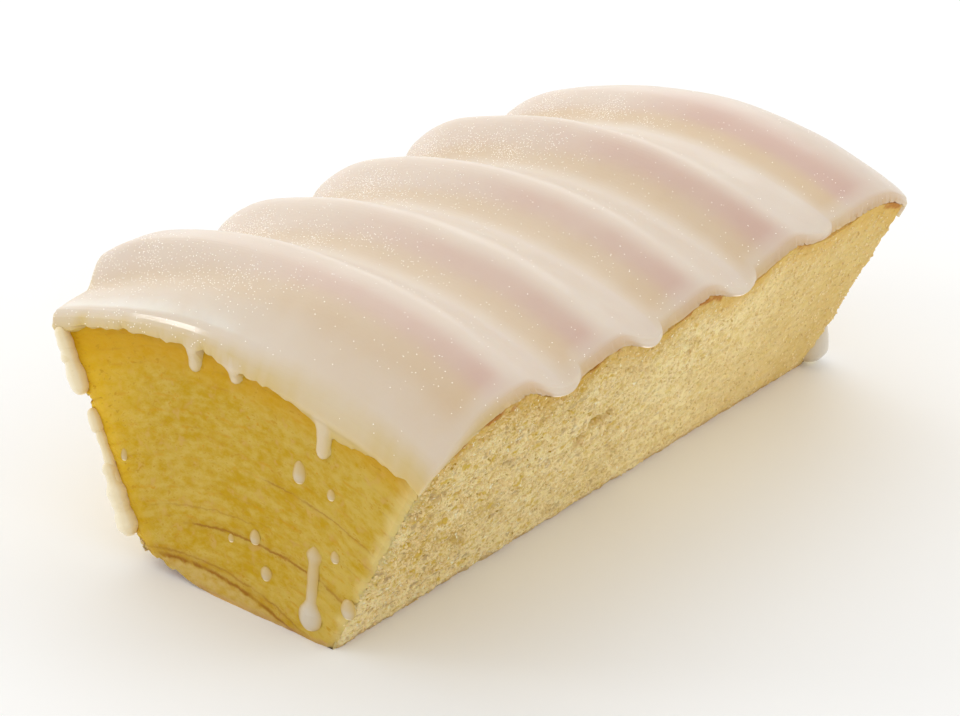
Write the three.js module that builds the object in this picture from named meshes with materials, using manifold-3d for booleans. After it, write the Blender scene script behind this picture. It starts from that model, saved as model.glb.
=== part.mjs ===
// A cut piece of ridged ring cake under a poured sugar glaze.
// Millimetres, +Z up. The piece stands on the trimmed inside of its ring, and +X runs
// along the log from the near cut to the far cut.
import * as THREE from 'three';
import { mergeVertices } from 'three/addons/utils/BufferGeometryUtils.js';
import Module from 'manifold-3d';

const wasm = await Module();
wasm.setup();
const { clamp, degToRad, lerp, seededRandom, smoothstep } = THREE.MathUtils;

// The sector of the ring: its axis lies below the board, and the side cuts are rays from it
const length = 140;
const ringAxis = { y: -1.7, z: -40.6 };
const rightCut = degToRad(-24.4);
const leftCut = degToRad(28.8);
const nearLean = 0.071;
const farLean = 0.029;
const origin = { x: 0.5, y: 2.9 };

// The ridges of the log, as radii outside the glaze; tilts are rises per radian to the left
const ridgePitch = 26.2;
const ridgesEachSide = 2;
const crestFullness = 0.9;
const crestLift = [0.6, -0.9, -0.6, 0.4, -1];
const crestRadius = { near: 95.3, far: 93.8 };
const valleyDepth = { right: 4, left: 6.2 };
const endDrop = { near: 9.6, far: 5.6 };
const crestTilt = { near: 6.4, far: -3 };
const endTilt = { near: 2.8, far: -3 };
const rightRounding = { drop: 0.6, width: 4 };
const leftRounding = { drop: 3.1, width: 14, endShare: 0.6 };
const edgeRadius = 90;

// The crumb: one row of cells for each baked layer, a soft lower edge and a torn spot
const cakeCells = { along: 40, across: 14, up: 15 };
const layerRelief = 0.3;
const crumbRelief = 0.35;
const crumbFade = 0.1;
const lowerEdge = { lift: 0.6, inset: 0.5 };
const trimmedCorner = { lift: 3.2, from: 6, to: 22, fadeAt: 24 };
const tornSpot = { x: -17, z: 23, halfWide: 6, halfHigh: 4, depth: 1.6 };

// The glaze: thin on the crests, pooled in the valleys, hanging over the edges
const glazeCells = { along: 50, across: 18, up: 4 };
const glazeDepth = { crest: 1, valley: 2.2, end: 1.8 };
const overhang = { near: 1.4, far: 0.9, left: 2.6, rightCrest: -1, rightValley: 1.5 };
const rimHang = { near: 2.2, far: 2.4, left: 6, right: 1, inside: 4 };
const rimWave = { near: 2, far: 1.2, left: 1.6, right: 0.4 };
const sideSway = { slow: 0.31, quick: 0.83, share: 0.6 };
const endSway = { slow: 13.6, start: 4.15, quick: 41, share: 0.3 };
const cornerLobe = { from: 0.4, to: 0.9 };
const rimShare = 0.3;
const bead = 0.7;
const gap = 0.3;
const dripSides = 8;
const dripSteps = 6;
const dripFlatness = 0.75;

// Runs that hang from the glaze and drops that stand alone, each by its round tip:
// the place along its cut, the height, the width and the length upwards
const runTaper = 0.5;
const dropTaper = 1;
const glazeRuns = [
  { cut: 'near', at: 13, z: 38.2, width: 3.2, rise: 5.5 },
  { cut: 'near', at: 4.4, z: 39.2, width: 3.4, rise: 5.5 },
  { cut: 'near', at: -15, z: 32.6, width: 3.4, rise: 7 },
  { cut: 'left', at: -65.6, z: 26.4, width: 5, rise: 10 },
  { cut: 'left', at: -34, z: 23, width: 5, rise: 13 },
  { cut: 'left', at: 4, z: 28, width: 4.4, rise: 10 },
  { cut: 'left', at: 41, z: 18, width: 5.2, rise: 18 },
  { cut: 'far', at: 22, z: 33, width: 4, rise: 8 },
  { cut: 'far', at: -3, z: 31, width: 4.4, rise: 14 },
  { cut: 'far', at: -24, z: 32, width: 3.6, rise: 9 },
];
const looseDrops = [
  { cut: 'near', at: -10.6, z: 26.2, width: 3.4, rise: 5.4 },
  { cut: 'near', at: -17.3, z: 25.6, width: 2.2, rise: 2.8 },
  { cut: 'near', at: -2.4, z: 12.3, width: 2.4, rise: 3 },
  { cut: 'near', at: -5.2, z: 7.1, width: 2.8, rise: 3.2 },
  { cut: 'near', at: -14.8, z: 1.9, width: 5, rise: 15 },
  { cut: 'near', at: -19, z: 15.4, width: 2.2, rise: 2.8 },
  { cut: 'near', at: -22.4, z: 7, width: 3.2, rise: 3.8 },
  { cut: 'left', at: -67, z: 20.6, width: 4, rise: 5 },
  { cut: 'left', at: -67, z: 4.6, width: 5, rise: 14 },
  { cut: 'left', at: 12, z: 14, width: 3.4, rise: 4.6 },
  { cut: 'far', at: 8, z: 11, width: 3.2, rise: 5 },
  { cut: 'far', at: -16.5, z: 0.8, width: 8.6, rise: 7 },
];

// An even draw between -1 and 1 for a column and layer of a cut, the same every time
function draw(cut, column, layer) {
  return 2 * seededRandom(10000 * cut + 100 * column + layer) - 1;
}

// How far past the last crest a place along the log lies: 0 at the crest, 1 at the cut
function pastLastCrest(x) {
  const lastCrest = ridgesEachSide * ridgePitch;
  return Math.max(0, Math.abs(x) - lastCrest) / (length / 2 - lastCrest);
}

// 0 on a crest, 1 in the valley beside it, 0 again on the slopes down to the end cuts
function valleyShare(x) {
  if (pastLastCrest(x) > 0) return 0;
  const step = x / ridgePitch;
  const away = 2 * Math.abs(step - Math.round(step));
  return 0.5 - 0.5 * Math.cos(Math.PI * away ** crestFullness);
}

// Radius of the glazed outside at a place along the log and an angle round the ring
function outerRadius(x, angle) {
  const along = clamp(x / length + 0.5, 0, 1);
  const across = clamp((angle - rightCut) / (leftCut - rightCut), 0, 1);
  const ridge = clamp(Math.round(x / ridgePitch), -ridgesEachSide, ridgesEachSide);
  const valley = valleyShare(x);
  const past = pastLastCrest(x);
  const leftward = Math.max(0, angle);
  const nearDrop = endDrop.near - endTilt.near * leftward;
  const farDrop = endDrop.far - endTilt.far * leftward;
  const fromRight = (angle - rightCut) * edgeRadius;
  const fromLeft = (leftCut - angle) * edgeRadius + overhang.left;
  const leftDrop = leftRounding.drop * lerp(1, leftRounding.endShare, Math.min(1, past));
  return lerp(crestRadius.near, crestRadius.far, along)
    + lerp(crestTilt.near, crestTilt.far, along) * leftward
    + crestLift[ridge + ridgesEachSide] * (1 - valley)
    - lerp(valleyDepth.right, valleyDepth.left, across) * valley
    - (x < 0 ? nearDrop : farDrop) * past ** 2
    - rightRounding.drop * Math.max(0, 1 - fromRight / rightRounding.width) ** 2
    - leftDrop * Math.max(0, 1 - fromLeft / leftRounding.width) ** 2;
}

// Radius of the cake itself, under its glaze
function cakeRadius(x, angle) {
  const depth = lerp(glazeDepth.crest, glazeDepth.valley, valleyShare(x));
  return outerRadius(x, angle) - lerp(depth, glazeDepth.end, Math.min(1, pastLastCrest(x)));
}

// A point of the ring sector from its place along, its angle and its radius
function sectorPoint(x, angle, radius) {
  const z = ringAxis.z + radius * Math.cos(angle);
  const lean = lerp(nearLean, farLean, x / length + 0.5);
  return new THREE.Vector3(x + lean * z, ringAxis.y + radius * Math.sin(angle), z);
}

// A box of cells whose corners a rule carries to their places, as one closed mesh
function bentBox(cells, rule) {
  const box = new THREE.BoxGeometry(1, 1, 1, cells.along, cells.across, cells.up);
  const place = box.attributes.position;
  for (let i = 0; i < place.count; i += 1) {
    const corner = rule(place.getX(i) + 0.5, place.getY(i) + 0.5, place.getZ(i) + 0.5);
    place.setXYZ(i, corner.x, corner.y, corner.z);
  }
  return box;
}

// Merges a geometry's shared corners, drops collapsed triangles and makes it a solid
function solid(geometry) {
  geometry.deleteAttribute('normal');
  geometry.deleteAttribute('uv');
  const merged = mergeVertices(geometry);
  const index = merged.index.array;
  const triangles = [];
  for (let i = 0; i < index.length; i += 3) {
    const [a, b, c] = index.slice(i, i + 3);
    if (a !== b && b !== c && c !== a) triangles.push(a, b, c);
  }
  return new wasm.Manifold(new wasm.Mesh({
    numProp: 3,
    vertProperties: new Float32Array(merged.attributes.position.array),
    triVerts: new Uint32Array(triangles),
  }));
}

function geometryOf(body) {
  const mesh = body.getMesh();
  const geometry = new THREE.BufferGeometry();
  geometry.setAttribute('position', new THREE.BufferAttribute(mesh.vertProperties, 3));
  geometry.setIndex(new THREE.BufferAttribute(mesh.triVerts, 1));
  geometry.computeVertexNormals();
  return geometry;
}

// Height of the crumb above its cut: each layer shrank a little more or less, and fades at edges
function crumbHeight(cut, place, up) {
  const column = 1 + Math.round(place * cakeCells.along);
  const layer = Math.round(up * cakeCells.up);
  const fade = smoothstep(Math.min(place, 1 - place, up, 1 - up), 0, crumbFade);
  return fade * (layerRelief * draw(cut, 0, layer) + crumbRelief * draw(cut, column, layer));
}

// Depth of the torn spot in the right cut
function tornDepth(x, z) {
  const away = Math.hypot((x - tornSpot.x) / tornSpot.halfWide, (z - tornSpot.z) / tornSpot.halfHigh);
  return tornSpot.depth * (1 - smoothstep(away, 0.2, 1));
}

// Softens the lower edges, and trims the corner under the near and left cuts
function softenLowerEdge(point, along, across) {
  const atEdge = along === 0 || along === 1 || across === 0 || across === 1;
  if (!atEdge) return;
  const nearness = 1 - smoothstep(along * length, 0, trimmedCorner.fadeAt);
  const corner = smoothstep(point.y, trimmedCorner.from, trimmedCorner.to) * nearness;
  point.z += lowerEdge.lift + trimmedCorner.lift * corner;
  point.x += lowerEdge.inset * (Number(along === 0) - Number(along === 1));
  point.y += lowerEdge.inset * (Number(across === 0) - Number(across === 1));
}

// The cake as a rule on a box, grown on all sides by a clearance
function cakePoint(along, across, up, grow) {
  const x = (along - 0.5) * (length + 2 * grow);
  const spread = grow / edgeRadius;
  const angle = lerp(rightCut - spread, leftCut + spread, across);
  const foot = -ringAxis.z / Math.cos(angle) - grow;
  const point = sectorPoint(x, angle, lerp(foot, cakeRadius(x, angle) + grow, up));
  if (up === 0) softenLowerEdge(point, along, across);
  const outward = new THREE.Vector3(0, Math.cos(angle), -Math.sin(angle));
  if (along === 0) point.x -= crumbHeight(1, across, up);
  if (along === 1) point.x += crumbHeight(2, across, up);
  if (across === 1) point.addScaledVector(outward, crumbHeight(3, along, up));
  if (across === 0) {
    const height = crumbHeight(4, along, up) - tornDepth(point.x, point.z);
    point.addScaledVector(outward, -height);
  }
  return point;
}

// How far the rim of the glaze hangs below the top edge of each cut
function rimDepth(along, across, x, angle) {
  const sway = Math.sin(x * sideSway.slow) + sideSway.share * Math.sin(x * sideSway.quick);
  const slowTurn = Math.sin(angle * endSway.slow + endSway.start);
  const turn = slowTurn + endSway.share * Math.sin(angle * endSway.quick);
  if (along === 0) return rimHang.near + rimWave.near * turn;
  if (along === 1) return rimHang.far + rimWave.far * turn;
  if (across === 1) return rimHang.left + rimWave.left * sway;
  if (across === 0) return rimHang.right + rimWave.right * sway;
  return rimHang.inside;
}

// The glaze as a rule on a box: a full lip that narrows to its rim, with a soft upper bead
function glazePoint(along, across, up) {
  const swell = lerp(rimShare, 1, Math.sqrt(Math.min(1, 2 * up)));
  const x = lerp(-length / 2 - overhang.near * swell, length / 2 + overhang.far * swell, along);
  const lobe = Math.max(valleyShare(x), smoothstep(pastLastCrest(x), cornerLobe.from, cornerLobe.to));
  const rightOver = lerp(overhang.rightCrest, overhang.rightValley, lobe);
  const right = rightCut - rightOver * swell / edgeRadius;
  const left = leftCut + overhang.left * swell / edgeRadius;
  const angle = lerp(right, left, across);
  const rim = cakeRadius(x, angle) - rimDepth(along, across, x, angle);
  const atEdge = along === 0 || along === 1 || across === 0 || across === 1;
  const top = outerRadius(x, angle) - (atEdge ? bead : 0);
  return sectorPoint(x, angle, lerp(rim, top, up));
}

// Where a cut lies, and which way is up and out along it
function onCut(cut, at, z) {
  const lean = { near: nearLean, far: farLean }[cut];
  if (lean !== undefined) {
    const side = cut === 'near' ? -1 : 1;
    const point = new THREE.Vector3(side * length / 2 + lean * z, at, z);
    return { point, up: new THREE.Vector3(lean, 0, 1), out: new THREE.Vector3(side, 0, -side * lean) };
  }
  const point = new THREE.Vector3(at, ringAxis.y + (z - ringAxis.z) * Math.tan(leftCut), z);
  const up = new THREE.Vector3(0, Math.sin(leftCut), Math.cos(leftCut));
  return { point, up, out: new THREE.Vector3(0, Math.cos(leftCut), -Math.sin(leftCut)) };
}

// A run or drop of glaze, half sunk in the cut it lies on: round at its tip, narrower upwards
function drip({ cut, at, z, width, rise }, taper) {
  const outline = [new THREE.Vector2(0, 0)];
  for (let i = 1; i <= dripSteps; i += 1) {
    const height = rise * (i / dripSteps) ** 1.5;
    const tip = Math.sqrt(1 - (1 - Math.min(1, 2 * height / width)) ** 2);
    const narrowing = Math.sqrt(1 - taper * height / rise);
    outline.push(new THREE.Vector2(width / 2 * tip * narrowing, height));
  }
  outline.push(new THREE.Vector2(0, rise));
  const { point, up, out } = onCut(cut, at, z);
  up.normalize();
  out.normalize();
  const side = new THREE.Vector3().crossVectors(up, out);
  const place = new THREE.Matrix4().makeBasis(side, up, out).setPosition(point);
  const shape = new THREE.LatheGeometry(outline, dripSides);
  shape.scale(1, 1, dripFlatness);
  shape.applyMatrix4(place);
  return solid(shape);
}

function joined(body, drips, taper) {
  return drips.reduce((whole, item) => whole.add(drip(item, taper)), body);
}

function piece(name, body, material) {
  const mesh = new THREE.Mesh(geometryOf(body), material);
  mesh.name = name;
  mesh.position.set(-origin.x, -origin.y, 0);
  return mesh;
}

const crumbFinish = new THREE.MeshStandardMaterial({ color: 0xd9b868, roughness: 0.85, metalness: 0 });
const glazeFinish = new THREE.MeshStandardMaterial({ color: 0xeadbc8, roughness: 0.3, metalness: 0 });

const cakeBody = solid(bentBox(cakeCells, (along, across, up) => cakePoint(along, across, up, 0)));
const clearance = solid(bentBox(cakeCells, (along, across, up) => cakePoint(along, across, up, gap)));
const glazeBody = solid(bentBox(glazeCells, glazePoint));

const baumkuchen = new THREE.Group();
const glazedBody = joined(glazeBody, glazeRuns, runTaper).subtract(clearance);
baumkuchen.add(piece('cake', joined(cakeBody, looseDrops, dropTaper), crumbFinish));
baumkuchen.add(piece('glaze', glazedBody, glazeFinish));

export default baumkuchen;
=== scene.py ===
import math

import bpy
from mathutils import Matrix, Vector


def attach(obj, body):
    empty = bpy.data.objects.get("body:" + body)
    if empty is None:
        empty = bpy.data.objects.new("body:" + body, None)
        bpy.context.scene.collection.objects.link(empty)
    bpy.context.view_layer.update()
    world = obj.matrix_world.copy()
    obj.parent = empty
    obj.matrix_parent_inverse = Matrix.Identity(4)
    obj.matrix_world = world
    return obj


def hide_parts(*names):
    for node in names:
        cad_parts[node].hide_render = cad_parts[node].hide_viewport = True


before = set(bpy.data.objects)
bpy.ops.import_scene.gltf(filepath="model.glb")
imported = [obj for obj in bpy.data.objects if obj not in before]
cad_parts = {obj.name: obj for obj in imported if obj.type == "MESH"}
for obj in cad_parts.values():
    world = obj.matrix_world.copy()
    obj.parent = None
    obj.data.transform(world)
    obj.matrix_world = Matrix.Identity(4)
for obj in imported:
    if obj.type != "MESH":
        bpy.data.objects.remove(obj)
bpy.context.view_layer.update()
mm = 0.001
tiny = 0.001                                       # shares below this count as an edge of the box


# Numbers in node trees

class Value:                                       # a number in a node tree; sums of these add Math nodes
    def __init__(self, tree, socket):
        self.tree = tree
        self.socket = socket

    def __add__(self, other):
        return mathNode("ADD", self, other)

    def __radd__(self, other):
        return mathNode("ADD", other, self)

    def __sub__(self, other):
        return mathNode("SUBTRACT", self, other)

    def __rsub__(self, other):
        return mathNode("SUBTRACT", other, self)

    def __mul__(self, other):
        return mathNode("MULTIPLY", self, other)

    def __rmul__(self, other):
        return mathNode("MULTIPLY", other, self)

    def __truediv__(self, other):
        return mathNode("DIVIDE", self, other)

    def __rtruediv__(self, other):
        return mathNode("DIVIDE", other, self)

    def __pow__(self, other):
        return mathNode("POWER", self, other)

    def __neg__(self):
        return mathNode("MULTIPLY", self, -1.0)


def feed(tree, socket, term):                      # links a value or socket, or sets a plain number
    if isinstance(term, Value):
        tree.links.new(term.socket, socket)
    elif isinstance(term, bpy.types.NodeSocket):
        tree.links.new(term, socket)
    else:
        socket.default_value = term


def nodeOf(tree, kind, feeds=None, **settings):
    node = tree.nodes.new(kind)
    for name, choice in settings.items():
        setattr(node, name, choice)
    for name, term in (feeds or {}).items():
        feed(tree, node.inputs[name], term)
    return node


def mathNode(operation, *terms):
    tree = next(term.tree for term in terms if isinstance(term, Value))
    node = nodeOf(tree, "ShaderNodeMath", operation=operation)
    for socket, term in zip(node.inputs, terms):
        feed(tree, socket, term)
    return Value(tree, node.outputs[0])


def least(a, b):
    return mathNode("MINIMUM", a, b)


def most(a, b):
    return mathNode("MAXIMUM", a, b)


def softMost(a, b, reach):
    return mathNode("SMOOTH_MAX", a, b, reach)


def absolute(a):
    return mathNode("ABSOLUTE", a)


def root(a):
    return mathNode("SQRT", a)


def sine(a):
    return mathNode("SINE", a)


def cosine(a):
    return mathNode("COSINE", a)


def below(a, b):                                   # 1 where a is less than b
    return mathNode("LESS_THAN", a, b)


def clip(a):
    return most(least(a, 1.0), 0.0)


def mixed(low, high, share):
    return low + (high - low) * share


def eased(value, low, high):                       # 0 at low, 1 at high, soft at both
    share = clip((value - low) / (high - low))
    return share * share * (3.0 - share * 2.0)


def bell(value, middle, spread):
    away = (value - middle) / spread
    return mathNode("EXPONENT", -(away * away))


def quarterRound(value, reach):                    # rises from 0 to 1 over the reach, as a quarter circle
    rest = 1.0 - clip(value / reach)
    return root(most(1.0 - rest * rest, 0.0))


def vector(x, y, z):
    tree = next(term.tree for term in (x, y, z) if isinstance(term, Value))
    return Value(tree, nodeOf(tree, "ShaderNodeCombineXYZ", {"X": x, "Y": y, "Z": z}).outputs[0])


def parts(place):
    node = nodeOf(place.tree, "ShaderNodeSeparateXYZ", {"Vector": place})
    return [Value(place.tree, socket) for socket in node.outputs]


def noise(place, grain, detail=2.0, lattice=0.5):  # about -0.5 to 0.5, with lumps of this size
    feeds = {"Vector": place, "Scale": 1.0 / grain, "Detail": detail, "Roughness": lattice}
    node = nodeOf(place.tree, "ShaderNodeTexNoise", feeds, noise_dimensions="3D")
    return Value(place.tree, node.outputs["Fac"]) - 0.5


def noiseAlong(number, grain):
    feeds = {"W": number, "Scale": 1.0 / grain, "Detail": 1.0}
    node = nodeOf(number.tree, "ShaderNodeTexNoise", feeds, noise_dimensions="1D")
    return Value(number.tree, node.outputs["Fac"]) - 0.5


# Geometry Nodes trees and the meshes made from them

def startTree(name, sizes, takesMesh=False):
    tree = bpy.data.node_groups.new(name, "GeometryNodeTree")
    tree.interface.new_socket("Mesh", in_out="OUTPUT", socket_type="NodeSocketGeometry")
    if takesMesh:
        tree.interface.new_socket("Base", in_out="INPUT", socket_type="NodeSocketGeometry")
    for label, number in sizes.items():
        socket = tree.interface.new_socket(label, in_out="INPUT", socket_type="NodeSocketFloat")
        socket.default_value = number
    entry = nodeOf(tree, "NodeGroupInput")
    given = {label: Value(tree, entry.outputs[label]) for label in sizes}
    if takesMesh:
        given["Base"] = entry.outputs["Base"]
    return tree, given


def gridBox(tree, cells):                          # a closed box of cells, with each corner's shares
    feeds = {"Vertices X": cells[0] + 1, "Vertices Y": cells[1] + 1, "Vertices Z": cells[2] + 1}
    box = nodeOf(tree, "GeometryNodeMeshCube", feeds)
    place = Value(tree, nodeOf(tree, "GeometryNodeInputPosition").outputs[0])
    return box.outputs["Mesh"], [share + 0.5 for share in parts(place)]


def storeValue(tree, mesh, label, number):
    feeds = {"Geometry": mesh, "Name": label, "Value": number}
    node = nodeOf(tree, "GeometryNodeStoreNamedAttribute", feeds, data_type="FLOAT", domain="POINT")
    return node.outputs["Geometry"]


def storeValues(tree, mesh, numbers):
    for label, number in numbers.items():
        mesh = storeValue(tree, mesh, label, number)
    return mesh


def storedValue(tree, label, kind="FLOAT"):
    node = nodeOf(tree, "GeometryNodeInputNamedAttribute", {"Name": label}, data_type=kind)
    return Value(tree, node.outputs["Attribute"])


def setPlace(tree, mesh, place):                   # millimetres in the tree, metres in the mesh
    scaled = nodeOf(tree, "ShaderNodeVectorMath", {"Scale": mm}, operation="SCALE")
    feed(tree, scaled.inputs[0], place)
    feeds = {"Geometry": mesh, "Position": scaled.outputs[0]}
    return nodeOf(tree, "GeometryNodeSetPosition", feeds).outputs["Geometry"]


smoothUpTo = math.radians(50.0)                    # edges that turn more than this stay sharp


def finishTree(tree, mesh, material):
    real = nodeOf(tree, "GeometryNodeRealizeInstances", {"Geometry": mesh})
    turn = Value(tree, nodeOf(tree, "GeometryNodeInputMeshEdgeAngle").outputs["Unsigned Angle"])
    feeds = {"Geometry": real.outputs[0], "Shade Smooth": below(turn, smoothUpTo)}
    smooth = nodeOf(tree, "GeometryNodeSetShadeSmooth", feeds, domain="EDGE")
    dressed = nodeOf(tree, "GeometryNodeSetMaterial", {"Geometry": smooth.outputs[0], "Material": material})
    nodeOf(tree, "NodeGroupOutput", {"Mesh": dressed.outputs[0]})


def pieceFromTree(name, tree, sizes, base=None):   # runs the tree once and keeps its plain mesh
    piece = bpy.data.objects.new(name, base or bpy.data.meshes.new(name))
    bpy.context.scene.collection.objects.link(piece)
    modifier = piece.modifiers.new(name, "NODES")
    modifier.node_group = tree
    for socket in tree.interface.items_tree:
        if socket.name in sizes:
            modifier[socket.identifier] = sizes[socket.name]
    graph = bpy.context.evaluated_depsgraph_get()
    made = piece.evaluated_get(graph)
    plain = bpy.data.meshes.new_from_object(made, preserve_all_data_layers=True, depsgraph=graph)
    piece.modifiers.clear()
    piece.data = plain
    plain.name = name
    plain.calc_loop_triangles()
    print(f"{name}: {len(plain.loop_triangles)} triangles")
    return piece


# Shader groups and materials

def srgb(red, green, blue):                        # a colour as a paint program gives it, made linear
    shares = [level / 255 for level in (red, green, blue)]
    return tuple(c / 12.92 if c <= 0.04045 else ((c + 0.055) / 1.055) ** 2.4 for c in shares) + (1.0,)


mixSockets = {"share": 0, "low": 6, "high": 7, "colour": 2}


def tinted(low, high, share):                      # a colour between two others
    node = nodeOf(share.tree, "ShaderNodeMix", data_type="RGBA")
    feed(share.tree, node.inputs[mixSockets["share"]], share)
    feed(share.tree, node.inputs[mixSockets["low"]], low)
    feed(share.tree, node.inputs[mixSockets["high"]], high)
    return Value(share.tree, node.outputs[mixSockets["colour"]])


def laidOver(colour, look, masks):                 # lays named colours over one, each by its mask and share
    for name, mask in masks.items():
        colour = tinted(colour, look[name], mask * look["shares"][name])
    return colour


def startGroup(name, takes, gives):
    tree = bpy.data.node_groups.new(name, "ShaderNodeTree")
    for label, kind in takes.items():
        tree.interface.new_socket(label, in_out="INPUT", socket_type="NodeSocket" + kind)
    for label, kind in gives.items():
        tree.interface.new_socket(label, in_out="OUTPUT", socket_type="NodeSocket" + kind)
    entry = nodeOf(tree, "NodeGroupInput")
    return tree, {label: Value(tree, entry.outputs[label]) for label in takes}


def useGroup(tree, group, feeds):
    node = nodeOf(tree, "ShaderNodeGroup", node_tree=group)
    for label, term in feeds.items():
        feed(tree, node.inputs[label], term)
    return {socket.name: Value(tree, socket) for socket in node.outputs}


def startMaterial(name):
    material = bpy.data.materials.new(name)
    material.use_nodes = True
    tree = material.node_tree
    return material, tree, tree.nodes["Principled BSDF"]


def dress(tree, shader, looks):                    # links or sets the shader's sockets by name
    for label, term in looks.items():
        feed(tree, shader.inputs[label], term)


def surfacePlace(tree):                            # where on the piece, in millimetres
    place = nodeOf(tree, "ShaderNodeTexCoord").outputs["Object"]
    scaled = nodeOf(tree, "ShaderNodeVectorMath", {"Scale": 1.0 / mm}, operation="SCALE")
    feed(tree, scaled.inputs[0], place)
    return Value(tree, scaled.outputs[0])


def pieceValue(tree, label):
    return Value(tree, nodeOf(tree, "ShaderNodeAttribute", attribute_name=label).outputs["Fac"])


def bumpFrom(tree, height, depth, strength):
    feeds = {"Height": height, "Distance": depth * mm, "Strength": strength}
    return nodeOf(tree, "ShaderNodeBump", feeds).outputs["Normal"]


grainLook = {                                      # lumps in millimetres, then their weights and ranges
    "fine": 0.5, "medium": 1.2, "broad": 3.6, "glint": 0.8,
    "fineShare": 0.9, "mediumShare": 0.8, "broadShare": 0.6, "fineHeight": 0.7, "mediumHeight": 0.8,
    "fineInPores": 0.6, "mediumInGlints": 0.5, "pores": (0.06, 0.36), "glints": (0.13, 0.26),
}


def crumbGrainGroup():                             # the open grain of baked batter
    look = grainLook
    tree, given = startGroup("crumbGrain", {"Place": "Vector", "Size": "Float"},
                             {"Grain": "Float", "Pores": "Float", "Glints": "Float", "Height": "Float"})
    sized = nodeOf(tree, "ShaderNodeVectorMath", operation="SCALE")
    feed(tree, sized.inputs[0], given["Place"])
    feed(tree, sized.inputs["Scale"], 1.0 / given["Size"])
    place = Value(tree, sized.outputs[0])
    fine = noise(place, look["fine"], 3.0, 0.6)
    medium = noise(place, look["medium"], 2.0, 0.6)
    broad = noise(place, look["broad"])
    glint = noise(place, look["glint"], 2.0, 0.7)
    pores = eased(medium + fine * look["fineInPores"], *look["pores"])
    glints = eased(glint - medium * look["mediumInGlints"], *look["glints"])
    grain = 0.5 + fine * look["fineShare"] + medium * look["mediumShare"] + broad * look["broadShare"]
    height = fine * look["fineHeight"] - medium * look["mediumHeight"]
    feeds = {"Grain": clip(grain), "Pores": pores, "Glints": glints, "Height": height}
    nodeOf(tree, "NodeGroupOutput", feeds)
    return tree


def sugarCoverGroup():                             # how white a film of sugar looks over what is under it
    tree, given = startGroup("sugarCover",
                             {"Film": "Float", "Clarity": "Float", "Under": "Color", "Sugar": "Color"},
                             {"Color": "Color", "Cover": "Float"})
    cover = 1.0 - mathNode("EXPONENT", -(most(given["Film"], 0.0) / given["Clarity"]))
    colour = tinted(given["Under"], given["Sugar"], cover)
    nodeOf(tree, "NodeGroupOutput", {"Color": colour, "Cover": cover})
    return tree


mottleLook = {"slow": 17.0, "quick": 4.5}          # lumps in millimetres


def softMottleGroup():                             # slow and quick unevenness of a poured or baked surface
    tree, given = startGroup("softMottle", {"Place": "Vector"}, {"Slow": "Float", "Quick": "Float"})
    slow = noise(given["Place"], mottleLook["slow"])
    quick = noise(given["Place"], mottleLook["quick"], 3.0)
    nodeOf(tree, "NodeGroupOutput", {"Slow": slow, "Quick": quick})
    return tree


crumbGrain = crumbGrainGroup()
sugarCover = sugarCoverGroup()
softMottle = softMottleGroup()

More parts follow.
